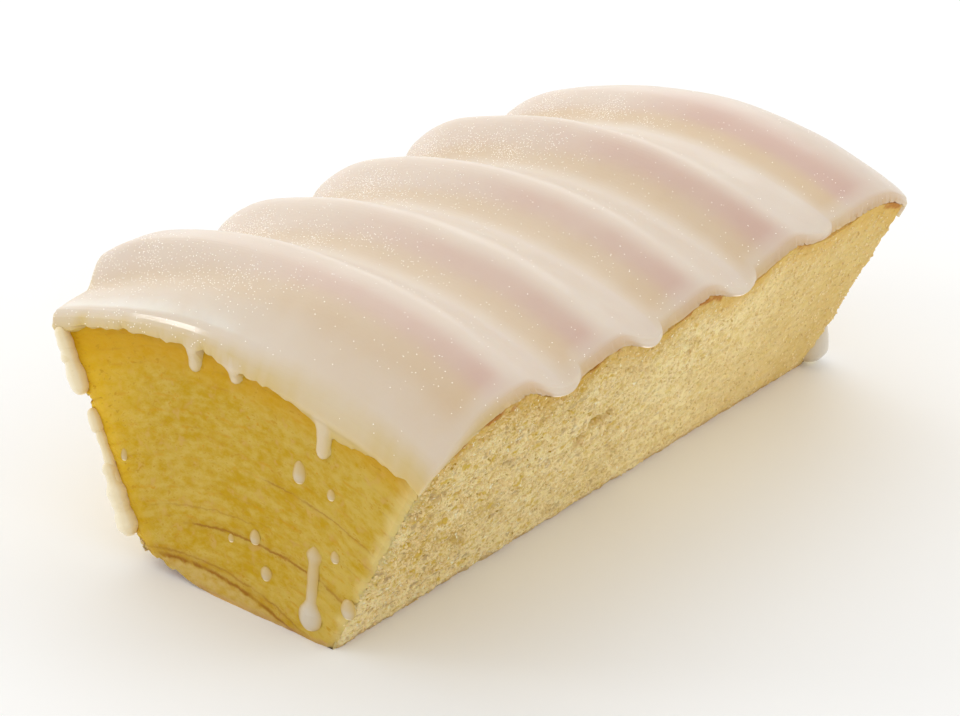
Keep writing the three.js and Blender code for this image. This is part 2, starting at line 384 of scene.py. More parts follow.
crumbFinish = {                                    # dry on the side cuts, wet on the end cuts
    "dryPale": srgb(254, 232, 174), "dryDeep": srgb(213, 179, 102), "dryGold": srgb(222, 187, 84),
    "dryGrey": srgb(206, 178, 126), "dryRim": srgb(218, 172, 74), "poreShade": srgb(184, 144, 40),
    "glint": srgb(255, 245, 210),
    "wetPale": srgb(205, 174, 76), "wetDeep": srgb(193, 153, 0), "wetTan": srgb(206, 166, 92),
    "wetRim": srgb(206, 155, 0), "wetSpeck": srgb(188, 140, 0), "ember": srgb(200, 146, 0),
    "litEdge": srgb(230, 182, 14), "edgeGlow": srgb(244, 202, 50), "dash": srgb(202, 148, 0),
    "layerLine": srgb(158, 104, 14), "flakyLayer": srgb(208, 178, 104), "crust": srgb(184, 118, 46),
    "footSkin": srgb(196, 152, 98), "sugar": srgb(230, 208, 140),
    "shares": {                                    # how strongly a colour is laid over the others
        "dryGold": 0.4, "dryGrey": 0.4, "dryRim": 0.7, "poreShade": 0.52, "glint": 0.6,
        "wetTan": 0.6, "litEdge": 0.7, "edgeGlow": 0.5, "wetRim": 0.8, "wetSpeck": 0.7, "ember": 0.8,
        "layerLine": 0.25, "dash": 0.5, "flakyLayer": 1.0, "footSkin": 0.6, "crust": 1.0, "wetDeep": 1.0,
    },
    "grains": {                                    # lumps of each pattern, in millimetres
        "blotch": 1.1, "speck": 0.55, "band": 2.2, "spot": 1.3, "patch": 1.5, "dryRim": 3.0,
        "tan": 2.2, "speckDrift": 2.4, "wave": 9.0, "ripple": 2.5, "break": 6.0, "dash": 1.6,
        "ragged": 2.0, "fleck": 4.0, "skin": 4.0, "crust": 1.6, "crustBreak": 5.0,
    },
    "ranges": {                                    # where each pattern starts and is full
        "contrast": (-60.0, 60.0), "light": (-70.0, 70.0), "foot": (2.0, 16.0), "footAlong": (-50.0, 0.0),
        "gold": (0.0, 0.22), "grey": (0.04, 0.24), "dryRim": (0.0, 8.5), "right": (5.0, 25.0),
        "tan": (0.06, 0.26), "lit": (14.0, 38.0), "rim": (3.0, 10.0), "speck": (0.1, 0.26),
        "ember": (0.17, 0.27), "break": (0.0, 0.3), "dash": (0.0, 0.2), "fleck": (-0.3, 0.0),
        "flaky": (-0.8, -0.1), "skin": (0.3, 1.5), "crust": (0.5, 1.5), "crustBreak": (-0.04, 0.12),
    },
    "wetMix": {"right": 0.2, "blotch": 3.0, "band": 1.6, "slow": 0.6, "quick": 0.8},
    "tanBlotch": 0.5, "speckDrift": 0.5, "flakyBlotch": 2.0, "glintMiddle": 0.2,
    "nearContrast": 2.7, "farContrast": 0.45, "grainShare": 1.3, "quickShare": 0.4,
    "nearLight": 0.7, "farLight": 0.16, "midLight": 0.5, "midAt": 5.0, "midSpread": 40.0, "footLight": 1.25,
    "blotchStretch": 0.55, "bandStretch": 0.2, "spotStretch": 0.7, "patchStretch": 0.7,
    "layer": 2.6, "wave": 1.3, "ripple": 0.5, "lineWidth": 0.32, "dashWidth": 0.5, "ragged": 1.1,
    "bandFade": 3.0, "halo": 3.5, "haloShare": 0.2, "rimRagged": 5.0, "skinRagged": 1.6, "crustRagged": 1.8,
    "sideCrust": 0.9, "endCrust": 0.3, "flakyShare": 0.6, "tornShare": 0.1,
    "dryRough": 0.8, "wetRough": 0.5, "glintGloss": 0.3, "filmGloss": 0.2, "specular": 0.2,
    "blotchRelief": 0.6, "speckRelief": 0.3, "bumpDepth": 0.45, "bumpStrength": 0.8,
    "scatter": 0.25, "scatterDepth": 1.6, "scatterReach": (1.0, 0.6, 0.15),
}
brownLayers = [                                    # ring amid the cut, its slope, width, reach and strength
    {"ring": 53.6, "tilt": 0.0, "wide": 0.46, "from": -27.0, "to": 8.0, "strength": 0.9},
    {"ring": 44.9, "tilt": 0.223, "wide": 0.74, "from": -16.0, "to": 24.0, "strength": 1.0},
    {"ring": 65.2, "tilt": 0.0, "wide": 0.3, "from": -27.0, "to": -8.0, "strength": 0.55},
    {"ring": 46.3, "tilt": 0.19, "wide": 0.4, "from": -14.0, "to": 16.0, "strength": 0.6},
    {"ring": 56.6, "tilt": 0.0, "wide": 0.3, "from": -4.0, "to": 16.0, "strength": 0.35},
]


def crumbMaterial():
    look = crumbFinish
    grains = look["grains"]
    ranges = look["ranges"]
    material, tree, shader = startMaterial("crumb")
    place = surfacePlace(tree)
    along, side, height = parts(place)
    endCut = pieceValue(tree, "endCut")
    ring = pieceValue(tree, "ring")
    fromTop = pieceValue(tree, "crustDepth")
    mottle = useGroup(tree, softMottle, {"Place": place})
    grain = useGroup(tree, crumbGrain, {"Place": place, "Size": 1.0})
    blotchPlace = vector(along, side * look["blotchStretch"], ring)
    blotches = noise(blotchPlace, grains["blotch"], 3.0, 0.6)
    specks = noise(blotchPlace, grains["speck"], 2.0, 0.6)
    bands = noise(vector(along, side * look["bandStretch"], ring), grains["band"])
    spots = noise(vector(along, side * look["spotStretch"], ring), grains["spot"], 2.0, 0.6)
    patches = noise(vector(along * look["patchStretch"], side, height), grains["patch"])

    contrast = mixed(look["nearContrast"], look["farContrast"], eased(along, *ranges["contrast"]))
    uneven = (grain["Grain"] - 0.5) * look["grainShare"]
    uneven = uneven + mottle["Slow"] + mottle["Quick"] * look["quickShare"]
    dryLight = mixed(look["nearLight"], look["farLight"], eased(along, *ranges["light"]))
    dryLight = dryLight + bell(along, look["midAt"], look["midSpread"]) * look["midLight"]
    nearFoot = (1.0 - eased(height, *ranges["foot"])) * (1.0 - eased(along, *ranges["footAlong"]))
    dryLight = dryLight + nearFoot * look["footLight"]
    dry = tinted(look["dryDeep"], look["dryPale"], dryLight + uneven * contrast)
    rimDepth = fromTop + noise(place, grains["dryRim"]) * look["rimRagged"]
    dry = laidOver(dry, look, {
        "dryGold": eased(patches, *ranges["gold"]) * contrast,
        "dryGrey": eased(-patches, *ranges["grey"]) * contrast,
        "dryRim": 1.0 - eased(rimDepth, *ranges["dryRim"]),
        "poreShade": grain["Pores"] * contrast,
        "glint": grain["Glints"] * contrast,
    })

    wetTerms = {"right": eased(-side, *ranges["right"]), "blotch": blotches, "band": bands,
                "slow": mottle["Slow"], "quick": mottle["Quick"]}
    wetShare = sum((term * look["wetMix"][name] for name, term in wetTerms.items()), start=0.5)
    wet = tinted(look["wetDeep"], look["wetPale"], wetShare)
    drifted = specks + noise(place, grains["speckDrift"]) * look["speckDrift"]
    wet = laidOver(wet, look, {
        "wetTan": eased(noise(place, grains["tan"]) - blotches * look["tanBlotch"], *ranges["tan"]),
        "litEdge": eased(side, *ranges["lit"]),
        "edgeGlow": pieceValue(tree, "leftEdge"),
        "wetRim": 1.0 - eased(fromTop, *ranges["rim"]),
        "wetSpeck": eased(drifted, *ranges["speck"]),
        "ember": eased(spots, *ranges["ember"]),
    })
    colour = tinted(dry, wet, endCut)

    wobble = noise(place, grains["wave"]) * look["wave"] + noise(place, grains["ripple"]) * look["ripple"]
    phase = (ring + wobble) / look["layer"]
    fromLine = absolute(phase - mathNode("ROUND", phase)) * look["layer"]
    broken = eased(noise(place, grains["break"]), *ranges["break"])
    dashed = eased(noise(blotchPlace, grains["dash"]), *ranges["dash"])
    colour = laidOver(colour, look, {
        "layerLine": (1.0 - eased(fromLine, 0.0, look["lineWidth"])) * broken,
        "dash": (1.0 - eased(fromLine, 0.0, look["dashWidth"])) * dashed * endCut,
    })
    raggedRing = ring + noise(place, grains["ragged"], 3.0, 0.7) * look["ragged"]
    flecked = eased(noise(place, grains["fleck"]), *ranges["fleck"])
    for band in brownLayers:
        starts = eased(side, band["from"] - look["bandFade"], band["from"])
        ends = eased(side, band["to"], band["to"] + look["bandFade"])
        away = absolute(raggedRing - band["ring"] - side * band["tilt"])
        stripe = (1.0 - eased(away, 0.0, band["wide"])) * flecked
        halo = (1.0 - eased(away, 0.0, band["wide"] * look["halo"])) * look["haloShare"]
        shown = starts * (1.0 - ends) * endCut * band["strength"]
        colour = tinted(colour, look["layerLine"], most(stripe, halo) * shown)

    lowest = brownLayers[1]
    overLowest = raggedRing - lowest["ring"] - side * lowest["tilt"]
    flaky = (1.0 - eased(overLowest, *ranges["flaky"])) * endCut
    skinDepth = height + noise(place, grains["skin"]) * look["skinRagged"]
    crustDepth = fromTop + noise(place, grains["crust"], 3.0) * look["crustRagged"]
    crust = (1.0 - eased(crustDepth, *ranges["crust"])) * pieceValue(tree, "crest")
    crust = crust * eased(noise(place, grains["crustBreak"]), *ranges["crustBreak"])
    colour = laidOver(colour, look, {
        "flakyLayer": flaky * clip(look["flakyShare"] + blotches * look["flakyBlotch"]),
        "footSkin": 1.0 - eased(skinDepth, *ranges["skin"]),
        "crust": crust * mixed(look["sideCrust"], look["endCrust"], endCut),
        "wetDeep": pieceValue(tree, "torn") * clip(grain["Grain"] + look["tornShare"]),
    })
    film = useGroup(tree, sugarCover, {"Film": pieceValue(tree, "cornerFilm"), "Clarity": 1.0,
                                       "Under": colour, "Sugar": look["sugar"]})
    rough = mixed(look["dryRough"], look["wetRough"], endCut)
    rough = rough - (grain["Glints"] - look["glintMiddle"]) * look["glintGloss"]
    wetRelief = blotches * look["blotchRelief"] - specks * look["speckRelief"]
    relief = mixed(grain["Height"] * contrast, wetRelief, endCut)
    dress(tree, shader, {
        "Base Color": film["Color"],
        "Roughness": rough - film["Cover"] * look["filmGloss"],
        "Normal": bumpFrom(tree, relief, look["bumpDepth"], look["bumpStrength"]),
        "Specular IOR Level": look["specular"],
        "Subsurface Weight": look["scatter"],
        "Subsurface Radius": look["scatterReach"],
        "Subsurface Scale": look["scatterDepth"] * mm,
    })
    return material


glazeFinish = {
    "sugar": srgb(224, 209, 190), "thickSugar": srgb(234, 227, 213), "sparkle": srgb(255, 252, 246),
    "browned": srgb(200, 153, 137), "tan": srgb(208, 174, 124), "crumb": srgb(206, 172, 50),
    "unlit": srgb(0, 0, 0), "glow": 0.8,           # light that thin rims let through
    "topClarity": 0.8, "cutClarity": 0.6, "thickFrom": 2.0, "thickTo": 3.6, "unevenFilm": 0.5,
    "roughness": 0.48, "unevenGloss": 0.15, "coat": 0.25, "lipCoat": 0.6, "coatRough": 0.12,
    "ripple": 2.2, "fineRipple": 0.7, "fineShare": 0.3, "bumpDepth": 0.2, "bumpStrength": 0.3,
    "scatter": 0.4, "scatterDepth": 1.4, "scatterReach": (1.0, 0.8, 0.5),
}
dropFinish = {
    **glazeFinish, "crumb": srgb(202, 163, 44), "sparkle": srgb(255, 244, 208),
    "sugar": srgb(212, 202, 186), "thickSugar": srgb(228, 219, 204),
    "roughness": 0.3, "coat": 0.4, "lipCoat": 0.3, "scatter": 0.0, "glow": 0.25,
}


def glazeMaterial(name, look):
    material, tree, shader = startMaterial(name)
    place = surfacePlace(tree)
    mottle = useGroup(tree, softMottle, {"Place": place})
    overCrumb = pieceValue(tree, "overCrumb")
    rimGlow = pieceValue(tree, "rimGlow")
    film = pieceValue(tree, "film") * (1.0 + (mottle["Quick"] + mottle["Slow"]) * look["unevenFilm"])
    under = tinted(look["tan"], look["browned"], pieceValue(tree, "blush"))
    under = tinted(under, look["crumb"], overCrumb)
    white = tinted(look["sugar"], look["thickSugar"], eased(film, look["thickFrom"], look["thickTo"]))
    white = tinted(white, look["sparkle"], rimGlow)
    clarity = mixed(look["topClarity"], look["cutClarity"], overCrumb)
    cover = useGroup(tree, sugarCover, {"Film": film, "Clarity": clarity, "Under": under, "Sugar": white})
    ripple = noise(place, look["ripple"], 3.0) + noise(place, look["fineRipple"]) * look["fineShare"]
    dress(tree, shader, {
        "Base Color": cover["Color"],
        "Roughness": look["roughness"] + mottle["Quick"] * look["unevenGloss"],
        "Normal": bumpFrom(tree, ripple, look["bumpDepth"], look["bumpStrength"]),
        "Coat Weight": look["coat"] + pieceValue(tree, "wetLip") * look["lipCoat"],
        "Coat Roughness": look["coatRough"],
        "Emission Color": tinted(look["unlit"], look["sparkle"], rimGlow),
        "Emission Strength": look["glow"],
        "Subsurface Weight": look["scatter"],
        "Subsurface Radius": look["scatterReach"],
        "Subsurface Scale": look["scatterDepth"] * mm,
    })
    return material


# The ridged ring that the piece is cut from, in millimetres and radians from the ring's middle

ringShape = {
    "length": 140.0, "axisSide": -1.7, "axisHeight": -40.6,
    "rightCut": math.radians(-24.4), "leftCut": math.radians(28.8),
    "nearLean": 0.071, "farLean": 0.029, "originAlong": 0.5, "originSide": 2.9,
    "ridgePitch": 26.2, "crestFullness": 0.9, "nearCrest": 95.3, "farCrest": 93.8,
    "rightValley": 3.6, "lastValley": 1.5, "lastValleyFrom": 24.0, "lastValleyTo": 37.0, "leftValley": 6.2,
    "nearDrop": 9.6, "farDrop": 5.6, "nearFallPower": 2.5,
    "nearCrestTilt": 6.4, "farCrestTilt": -3.0, "nearEndTilt": 2.8, "farEndTilt": -3.0,
    "shelfFrom": 0.2, "shelfTo": 0.6, "shelfShare": 0.6, "shelfSideFrom": 0.4, "shelfSideTo": 0.95,
    "rightRoundDrop": 0.6, "rightRoundWidth": 4.0, "leftRoundDrop": 3.1, "leftRoundWidth": 14.0,
    "leftRoundEnd": -0.3, "leftOverhang": 2.6, "edgeRadius": 90.0,
    "crestGlaze": 1.0, "valleyGlaze": 2.2, "endGlaze": 1.8,
}
crestLift = [0.6, -0.9, -0.6, 0.4, -1.0]           # each ridge's own height, from the near cut
lastRidge = len(crestLift) // 2


def pastLastCrest(size, x):                        # 0 at the last crest, 1 at the end cut
    lastCrest = size["ridgePitch"] * lastRidge
    return most(absolute(x) - lastCrest, 0.0) / (size["length"] * 0.5 - lastCrest)


def ridgeRadii(size, x, angle):                    # the glaze's outside, the cake's top, a valley's share
    along = clip(x / size["length"] + 0.5)
    across = clip((angle - size["rightCut"]) / (size["leftCut"] - size["rightCut"]))
    past = pastLastCrest(size, x)
    step = x / size["ridgePitch"]
    ridge = mathNode("ROUND", step)
    away = absolute(step - ridge) * 2.0
    valley = (0.5 - cosine(away ** size["crestFullness"] * math.pi) * 0.5) * below(past, tiny)
    nearHalf = below(x, 0.0)
    leftward = most(angle, 0.0)
    outer = mixed(size["nearCrest"], size["farCrest"], along)
    outer = outer + mixed(size["nearCrestTilt"], size["farCrestTilt"], along) * leftward
    held = most(least(ridge, lastRidge), -lastRidge)
    for number, lift in enumerate(crestLift):
        outer = outer + mathNode("COMPARE", held, number - lastRidge, 0.5) * (1.0 - valley) * lift
    lastOne = eased(x, size["lastValleyFrom"], size["lastValleyTo"])
    rightValley = mixed(size["rightValley"], size["lastValley"], lastOne)
    outer = outer - mixed(rightValley, size["leftValley"], across) * valley
    nearDrop = size["nearDrop"] - size["nearEndTilt"] * leftward
    farDrop = size["farDrop"] - size["farEndTilt"] * leftward
    shelf = mixed(past * past, eased(past, size["shelfFrom"], size["shelfTo"]), size["shelfShare"])
    shelfSide = eased(across, size["shelfSideFrom"], size["shelfSideTo"])
    nearFall = mixed(past ** size["nearFallPower"], shelf, shelfSide)
    outer = outer - mixed(farDrop * past * past, nearDrop * nearFall, nearHalf)
    fromRight = (angle - size["rightCut"]) * size["edgeRadius"]
    fromLeft = (size["leftCut"] - angle) * size["edgeRadius"] + size["leftOverhang"]
    leftDrop = size["leftRoundDrop"] * mixed(1.0, size["leftRoundEnd"], least(past, 1.0))
    outer = outer - size["rightRoundDrop"] * most(1.0 - fromRight / size["rightRoundWidth"], 0.0) ** 2.0
    outer = outer - leftDrop * most(1.0 - fromLeft / size["leftRoundWidth"], 0.0) ** 2.0
    glaze = mixed(size["crestGlaze"], size["valleyGlaze"], valley)
    glaze = mixed(glaze, size["endGlaze"], least(past, 1.0))
    return outer, outer - glaze, valley


def sectorPlace(size, x, angle, radius):
    height = size["axisHeight"] + radius * cosine(angle)
    lean = mixed(size["nearLean"], size["farLean"], x / size["length"] + 0.5)
    return x + lean * height, size["axisSide"] + radius * sine(angle), height


def edgeFlags(along, across):                      # 1 on the near, far, right and left walls of a box
    return below(along, tiny), below(1.0 - along, tiny), below(across, tiny), below(1.0 - across, tiny)


# The block of crumb

cakeShape = {
    "trimLift": 3.2, "trimFrom": 6.0, "trimTo": 22.0, "trimReach": 24.0,
    "layer": 2.6, "wave": 1.3, "swellStep": 7.3, "swellDrift": 2.0, "sideLayer": 0.4, "endLayer": 0.14,
    "sideGroove": 0.3, "endGroove": 0.07, "grooveWidth": 0.5,
    "nearRelief": 1.35, "farRelief": 0.7, "topRelief": 0.35, "topReach": 1.6,
    "sideLump": 1.3, "endLump": 0.5, "sideGrain": 1.0, "endGrain": 0.3,
    "cornerInset": 0.9, "cornerReach": 2.2, "footInset": 0.4, "footReach": 1.6, "footRagged": 5.0,
    "footWave": 1.6, "cornerOut": 2.1, "cornerOutReach": 30.0, "cornerFoot": 0.6, "cornerPower": 4.0,
    "tear": 4.5, "tearReach": 2.5, "tearStretch": 1.6, "rightTear": 0.35,
    "pitWide": 4.0, "pitHigh": 3.0, "pitCore": 0.4,
    "filmTop": 6.0, "filmFoot": 2.4, "filmDepth": 1.5, "nearFilmWave": 5.0,
    "rightFilm": 1.6, "rightFilmWave": 4.0, "edgeReach": 5.0, "crestFull": 0.3, "crestEnd": 0.8,
    "crumbsBelow": 1.0, "crumbsFull": 2.5, "crumbsFoot": 0.4, "crumbsOver": 0.8,
    "nearCrumbs": 1.2, "farCrumbs": 0.4,
}
cakeGrains = {                                     # lumps of each unevenness, in millimetres
    "foot": 2.0, "wave": 9.0, "swell": 30.0, "lump": 3.4, "crumb": 1.3, "tear": 2.2, "ragged": 2.4,
    "pitWide": 1.8, "pitHigh": 1.5, "nearFilm": 3.4, "rightFilm": 3.0,
}
cakeCells = (256, 72, 90)
cakePits = [                                       # torn places in the right cut
    {"x": -15.2, "z": 24.4, "halfWide": 3.6, "halfHigh": 2.4, "depth": 1.9},
    {"x": -19.4, "z": 21.6, "halfWide": 2.6, "halfHigh": 2.0, "depth": 1.7},
    {"x": 7.0, "z": 30.4, "halfWide": 1.4, "halfHigh": 2.4, "depth": 1.1},
]


def cakeTree(material):
    tree, size = startTree("cakeBlock", {**ringShape, **cakeShape})
    grains = cakeGrains
    mesh, (along, across, up) = gridBox(tree, cakeCells)
    atNear, atFar, atRight, atLeft = edgeFlags(along, across)
    onEnd = atNear + atFar
    onWall = least(onEnd + atRight + atLeft, 1.0)
    x = (along - 0.5) * size["length"]
    angle = mixed(size["rightCut"], size["leftCut"], across)
    cakeTop, valley = ridgeRadii(size, x, angle)[1:]

    footSide = size["axisSide"] - size["axisHeight"] * mathNode("TANGENT", angle)
    fromNear = along * size["length"]
    trim = eased(footSide, size["trimFrom"], size["trimTo"])
    trim = trim * (1.0 - eased(fromNear, 0.0, size["trimReach"]))
    footRough = noise(vector(x, footSide, 0.0), grains["foot"], 3.0, 0.6) * size["footRagged"]
    lift = (size["trimLift"] + footRough) * trim
    foot = (lift - size["axisHeight"]) / cosine(angle)
    radius = mixed(foot, cakeTop, up)
    nearCorner = across ** size["cornerPower"] * (1.0 - eased(fromNear, 0.0, size["cornerOutReach"]))
    outward = size["cornerOut"] * nearCorner * mixed(size["cornerFoot"], 1.0, up)
    angle = angle + outward / size["edgeRadius"]
    placeX, placeY, placeZ = sectorPlace(size, x, angle, radius)
    place = vector(placeX, placeY, placeZ)

    phase = (radius + noise(place, grains["wave"]) * size["wave"]) / size["layer"]
    layer = mathNode("FLOOR", phase)
    fromEdge = (0.5 - absolute(phase - layer - 0.5)) * size["layer"]
    swell = noiseAlong(layer * size["swellStep"] + noise(place, grains["swell"]) * size["swellDrift"], 1.0)
    swell = swell * mixed(size["sideLayer"], size["endLayer"], onEnd)
    groove = 1.0 - eased(fromEdge, 0.0, size["grooveWidth"])
    groove = groove * mixed(size["sideGroove"], size["endGroove"], onEnd)
    lumps = noise(place, grains["lump"]) * mixed(size["sideLump"], size["endLump"], onEnd)
    grain = noise(place, grains["crumb"], 2.0, 0.6) * mixed(size["sideGrain"], size["endGrain"], onEnd)
    underTop = eased(cakeTop - radius, 0.0, size["topReach"])
    relief = (swell - groove + lumps + grain) * mixed(size["topRelief"], 1.0, underTop)
    relief = relief * mixed(mixed(size["nearRelief"], size["farRelief"], along), 1.0, onEnd)

    fromEnds = least(along, 1.0 - along) * size["length"]
    fromSides = least(across, 1.0 - across) * (size["leftCut"] - size["rightCut"]) * radius
    fromCorner = mixed(fromEnds, fromSides, onEnd)
    corner = size["cornerInset"] * (1.0 - eased(fromCorner, 0.0, size["cornerReach"]))
    tearPlace = vector(placeX, placeY, placeZ * size["tearStretch"])
    tear = noise(tearPlace, grains["tear"], 3.0, 0.7) * size["tear"] * mixed(size["rightTear"], 1.0, across)
    corner = corner + tear * (1.0 - eased(fromCorner, 0.0, size["tearReach"]))
    fromFoot = placeZ - lift + noise(place, grains["ragged"]) * size["footWave"]
    footIn = size["footInset"] * (1.0 - eased(fromFoot, 0.0, size["footReach"]))
    pitX = placeX + noise(place, grains["pitWide"], 3.0) * size["pitWide"]
    pitZ = placeZ + noise(place, grains["pitHigh"], 3.0) * size["pitHigh"]
    torn = 0.0
    for pit in cakePits:
        wide = (pitX - pit["x"]) / pit["halfWide"]
        high = (pitZ - pit["z"]) / pit["halfHigh"]
        hole = (1.0 - eased(root(wide * wide + high * high), size["pitCore"], 1.0)) * atRight
        torn = torn + hole * pit["depth"]
    push = (relief - corner - footIn - torn) * onWall
    sidePush = push * (atLeft - atRight)
    endX = placeX + push * (atFar - atNear) - size["originAlong"]
    endY = placeY + sidePush * cosine(angle) - size["originSide"]
    endZ = placeZ - sidePush * sine(angle) * below(tiny, up)

    fromRight = (angle - size["rightCut"]) * radius
    fromLeft = (size["leftCut"] - angle) * radius
    filmWidth = mixed(size["filmFoot"], size["filmTop"], up * up)
    nearFilm = fromRight + noise(place, grains["nearFilm"], 3.0) * size["nearFilmWave"]
    rightFilm = fromNear + noise(place, grains["rightFilm"]) * size["rightFilmWave"]
    nearBand = atNear * (1.0 - eased(nearFilm, 0.0, filmWidth))
    rightBand = atRight * (1.0 - eased(rightFilm, 0.0, size["rightFilm"]))
    crumby = onWall * eased(cakeTop - radius, size["crumbsBelow"], size["crumbsFull"])
    crumby = crumby * eased(placeZ, size["crumbsFoot"], size["crumbsOver"])
    crumby = crumby * mixed(size["nearCrumbs"], size["farCrumbs"], along)
    mesh = storeValues(tree, mesh, {
        "endCut": onEnd,
        "ring": radius,
        "leftEdge": 1.0 - eased(fromLeft, 0.0, size["edgeReach"]),
        "crest": 1.0 - eased(valley, size["crestFull"], size["crestEnd"]),
        "crustDepth": mixed(0.0, cakeTop - radius, onWall),
        "cornerFilm": most(nearBand, rightBand) * size["filmDepth"],
        "torn": torn / cakePits[0]["depth"],
        "onCut": crumby * (1.0 - onEnd),           # no loose crumbs on the end cuts
    })
    finishTree(tree, setPlace(tree, mesh, vector(endX, endY, endZ)), material)
    return tree


# The poured glaze: one bent box whose walls thin out to a rim and sink into the cake below it

glazeShape = {
    "nearOver": 1.4, "farOver": 0.9, "rightCrestOver": -0.9, "rightValleyOver": 0.9, "edgePower": 4.0,
    "cornerIn": 0.9, "cornerInReach": 18.0, "nearHang": 0.7, "farHang": 2.0, "leftHang": 5.0,
    "cornerHang": 1.8, "rightHang": 0.3, "lobeHang": 1.2, "rightRagged": 1.6,
    "nearWave": 2.0, "nearRipple": 1.5, "farWave": 3.4, "leftWave": 5.0,
    "skirtAt": -18.0, "skirtSpread": 9.5, "skirtHang": 4.6,
    "skin": 0.45, "lipReach": 4.5, "bead": 1.1, "sunk": 1.1, "sunkReach": 0.9,
    "inset": 2.4, "underside": 1.6,
    "nearRound": 2.2, "farRound": 2.0, "leftRound": 1.8, "rightRound": 0.6, "lobeRound": 0.9,
    "rightWall": 7.0, "midWall": 18.0, "leftWall": 32.0, "runDepth": 0.22, "fillet": 1.2, "runFillet": 0.4,
    "fullFilm": 2.0, "thinFilm": 0.56, "farThinFilm": 0.27, "rimFilm": 0.1, "runFilm": 0.9,
    "shelfFilm": 1.0, "cornerFilm": 0.5, "cornerFilmReach": 6.0,
    "rimReach": 3.3, "rightReach": 2.4, "lobeReach": 0.9, "lipWrap": 1.5,
    "bandFrom": -15.5, "bandTo": -9.5, "crestFrom": -3.6, "crestTo": 1.8, "lastCrest": 12.0,
    "unevenTop": 0.5, "unevenBand": 2.0, "leftTan": 0.95, "leftBlush": 0.3,
    "rightThin": 0.55, "rightThinReach": 18.0, "rightRimFilm": 0.8, "rimBlush": 0.3,
    "nearThin": 0.5, "nearThinReach": 10.0, "nearCrust": 0.5, "farCrust": 0.15,
    "evenBeads": 0.015, "rightBeads": 0.06, "lipBeads": 0.25,
}
glazeTones = {                                     # where each change of the glaze starts and is full
    "rightWall": (0.0, 0.3), "leftWall": (0.7, 1.0), "leftRim": (0.9, 1.0), "leftHang": (2.0, 16.0),
    "blush": (-8.5, -4.5), "rimBlush": (0.0, 2.0), "leftward": (-0.05, 0.25), "farThin": (0.5, 0.85),
    "nearThin": (-8.0, 14.0), "shelf": (9.0, 16.0), "shelfSide": (-24.0, 34.0), "rightRim": (0.5, 5.0),
    "overCrumb": (0.6, 3.0), "overCrust": (0.2, 1.8), "nearCrust": (-60.0, -48.0),
    "lipBeads": (0.6, 2.4), "lipBeadSide": (4.0, 16.0), "fullLobe": (0.6, 0.95), "wetLip": (1.0, 4.0),
    "crestBeads": (-7.5, 3.8), "rimLine": (0.45, 0.25),  # these two are a middle and a spread
}
glazeGrains = {"ragged": 1.6, "top": 14.0, "band": 16.0}  # lumps in millimetres
glazeWaves = {                                     # each rim's own start in the noise, and its lumps
    "near": {"start": 40.0, "grain": 6.0}, "ripple": {"start": 90.0, "grain": 2.4},
    "far": {"start": 140.0, "grain": 6.0}, "left": {"start": 300.0, "grain": 8.0},
}
glazeCells = (230, 130, 40)
endSpread = 0.3                                    # how much closer the cells lie towards the edges
glazeRuns = [                                      # where its round tip is on its cut, then its size
    {"cut": "near", "at": 12.2, "z": 38.3, "width": 2.8, "rise": 6.5, "flare": 1.3},
    {"cut": "near", "at": 3.5, "z": 39.1, "width": 2.9, "rise": 5.6, "flare": 2.2},
    {"cut": "near", "at": -15.2, "z": 32.6, "width": 2.9, "rise": 8.0, "flare": 1.6},
    {"cut": "left", "at": -66.4, "z": 26.4, "width": 5.0, "rise": 10.0, "flare": 1.2},
    {"cut": "left", "at": -34.0, "z": 23.0, "width": 5.0, "rise": 13.0, "flare": 1.4},
    {"cut": "left", "at": 4.0, "z": 28.0, "width": 4.4, "rise": 10.0, "flare": 1.6},
    {"cut": "left", "at": 41.0, "z": 18.0, "width": 5.2, "rise": 20.0, "flare": 1.3},
    {"cut": "far", "at": 22.0, "z": 33.0, "width": 4.0, "rise": 9.0, "flare": 1.6},
    {"cut": "far", "at": -3.0, "z": 31.0, "width": 4.4, "rise": 14.0, "flare": 1.3},
    {"cut": "far", "at": -24.0, "z": 32.0, "width": 3.6, "rise": 9.0, "flare": 1.8},
]


def roundedDrop(distance, reach):                  # how far a rounded edge falls at a distance from it
    return reach * (1.0 - quarterRound(distance, reach))


edgeLobes = [                                      # pools over the right cut, steep at their far side
    {"from": -50.0, "low": -37.0, "end": -34.4, "share": 1.0},
    {"from": -25.0, "low": -13.8, "end": -11.2, "share": 1.0},
    {"from": 0.0, "low": 13.4, "end": 16.6, "share": 0.9},
    {"from": 27.0, "low": 36.6, "end": 39.8, "share": 0.5},
]
cornerPools = {"near": 0.5, "far": 0.35, "from": 0.4, "to": 0.9}


def edgeLobe(x, past):
    corner = mixed(cornerPools["far"], cornerPools["near"], below(x, 0.0))
    pool = eased(past, cornerPools["from"], cornerPools["to"]) * corner
    for lobe in edgeLobes:
        nose = clip((x - lobe["low"]) / (lobe["end"] - lobe["low"]))
        run = eased(x, lobe["from"], lobe["low"]) * root(1.0 - nose * nose)
        pool = most(pool, run * lobe["share"])
    return pool


def rimWave(number, name):
    wave = glazeWaves[name]
    return noiseAlong(number + wave["start"], wave["grain"])


